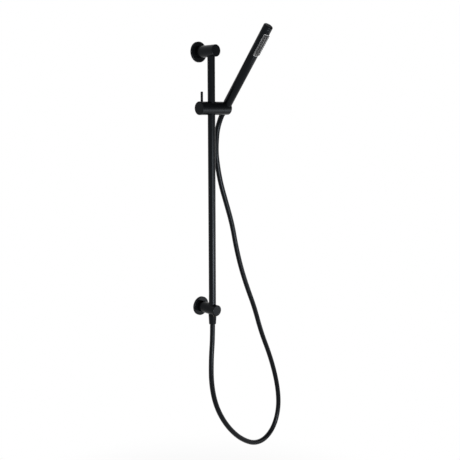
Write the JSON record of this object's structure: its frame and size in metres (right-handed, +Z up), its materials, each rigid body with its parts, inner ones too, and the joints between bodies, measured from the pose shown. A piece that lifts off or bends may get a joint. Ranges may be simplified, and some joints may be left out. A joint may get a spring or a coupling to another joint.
{
  "type": "shower slide rail",
  "caption": "Wall-mounted black shower slide rail with round posts, a clamping slider, a tilting holder, a pencil handset, a hose and a lower bracket that feeds the hose.",
  "frame": {"origin": "middle of the water inlet's mouth at the back of the lower bracket, on the wall plane", "axes": "+Z up along the rail, +Y into the wall, +X along the wall towards the handset's side"},
  "size_m": [0.3294, 0.2157, 1.2305],
  "materials": {
    "rail_black": "satin black coating",
    "bracket_black": "satin black coating",
    "slider_black": "satin black coating",
    "handset_black": "satin black coating",
    "nut_black": "satin black coating",
    "ferrule_black": "matt black",
    "brass": "turned",
    "screw_steel": "dark steel",
    "nylon": "moulded",
    "seal_rubber": "moulded",
    "nozzle_grey": "matt silicone",
    "hose_black": "smooth satin"
  },
  "bodies": {
    "rail": {"rail_tube": "rail_black", "upper_wall_boss": "brass", "upper_post": "bracket_black", "upper_flange": "bracket_black", "upper_grub_screws": "screw_steel", "lower_post": "bracket_black", "lower_flange": "bracket_black", "inlet_seal": "seal_rubber", "outlet_nipple": "brass", "lower_hose_washer": "seal_rubber", "lower_ferrule": "ferrule_black", "lower_hose_nut": "nut_black", "hose": "hose_black"},
    "carriage": {"slider_liner": "nylon"},
    "slider": {"slider_body": "slider_black", "shaft_keeper": "screw_steel"},
    "brake": {"brake_pad": "nylon"},
    "lock": {"lock_knob": "slider_black", "lock_lever": "slider_black"},
    "holder": {"holder_head": "slider_black", "friction_ring": "seal_rubber", "handset_tube": "handset_black", "handset_tip_cap": "handset_black", "spray_core": "nylon", "nozzle_mat": "nozzle_grey", "handset_inlet": "brass", "upper_hose_washer": "seal_rubber", "upper_ferrule": "ferrule_black", "upper_hose_nut": "nut_black"}
  },
  "joints": [
    {"name": "slider_slide", "type": "slide", "parent": "rail", "child": "carriage", "axis": [0, 0, 1], "range_m": [-0.51, 0.11], "deforming": ["hose"]},
    {"name": "slider_swivel", "type": "hinge", "parent": "carriage", "child": "slider", "pos_m": [0, -0.0515, 0.5535], "axis": [0, 0, 1], "range_deg": [-45, 8], "deforming": ["hose"]},
    {"name": "holder_tilt", "type": "hinge", "parent": "slider", "child": "holder", "pos_m": [0.05, -0.0515, 0.5535], "axis": [1, 0, 0], "range_deg": [-37.8, 15], "deforming": ["hose"]},
    {"name": "brake_travel", "type": "slide", "parent": "slider", "child": "brake", "axis": [1, 0, 0], "range_m": [0, 0.00038]},
    {"name": "lock_turn", "type": "hinge", "parent": "brake", "child": "lock", "pos_m": [-0.0338, -0.0515, 0.5535], "axis": [1, 0, 0], "range_deg": [0, 90]}
  ],
  "couplings": [
    {"joint": "brake_travel", "follows": "lock_turn", "m_per_rad": 0.00023873}
  ]
}
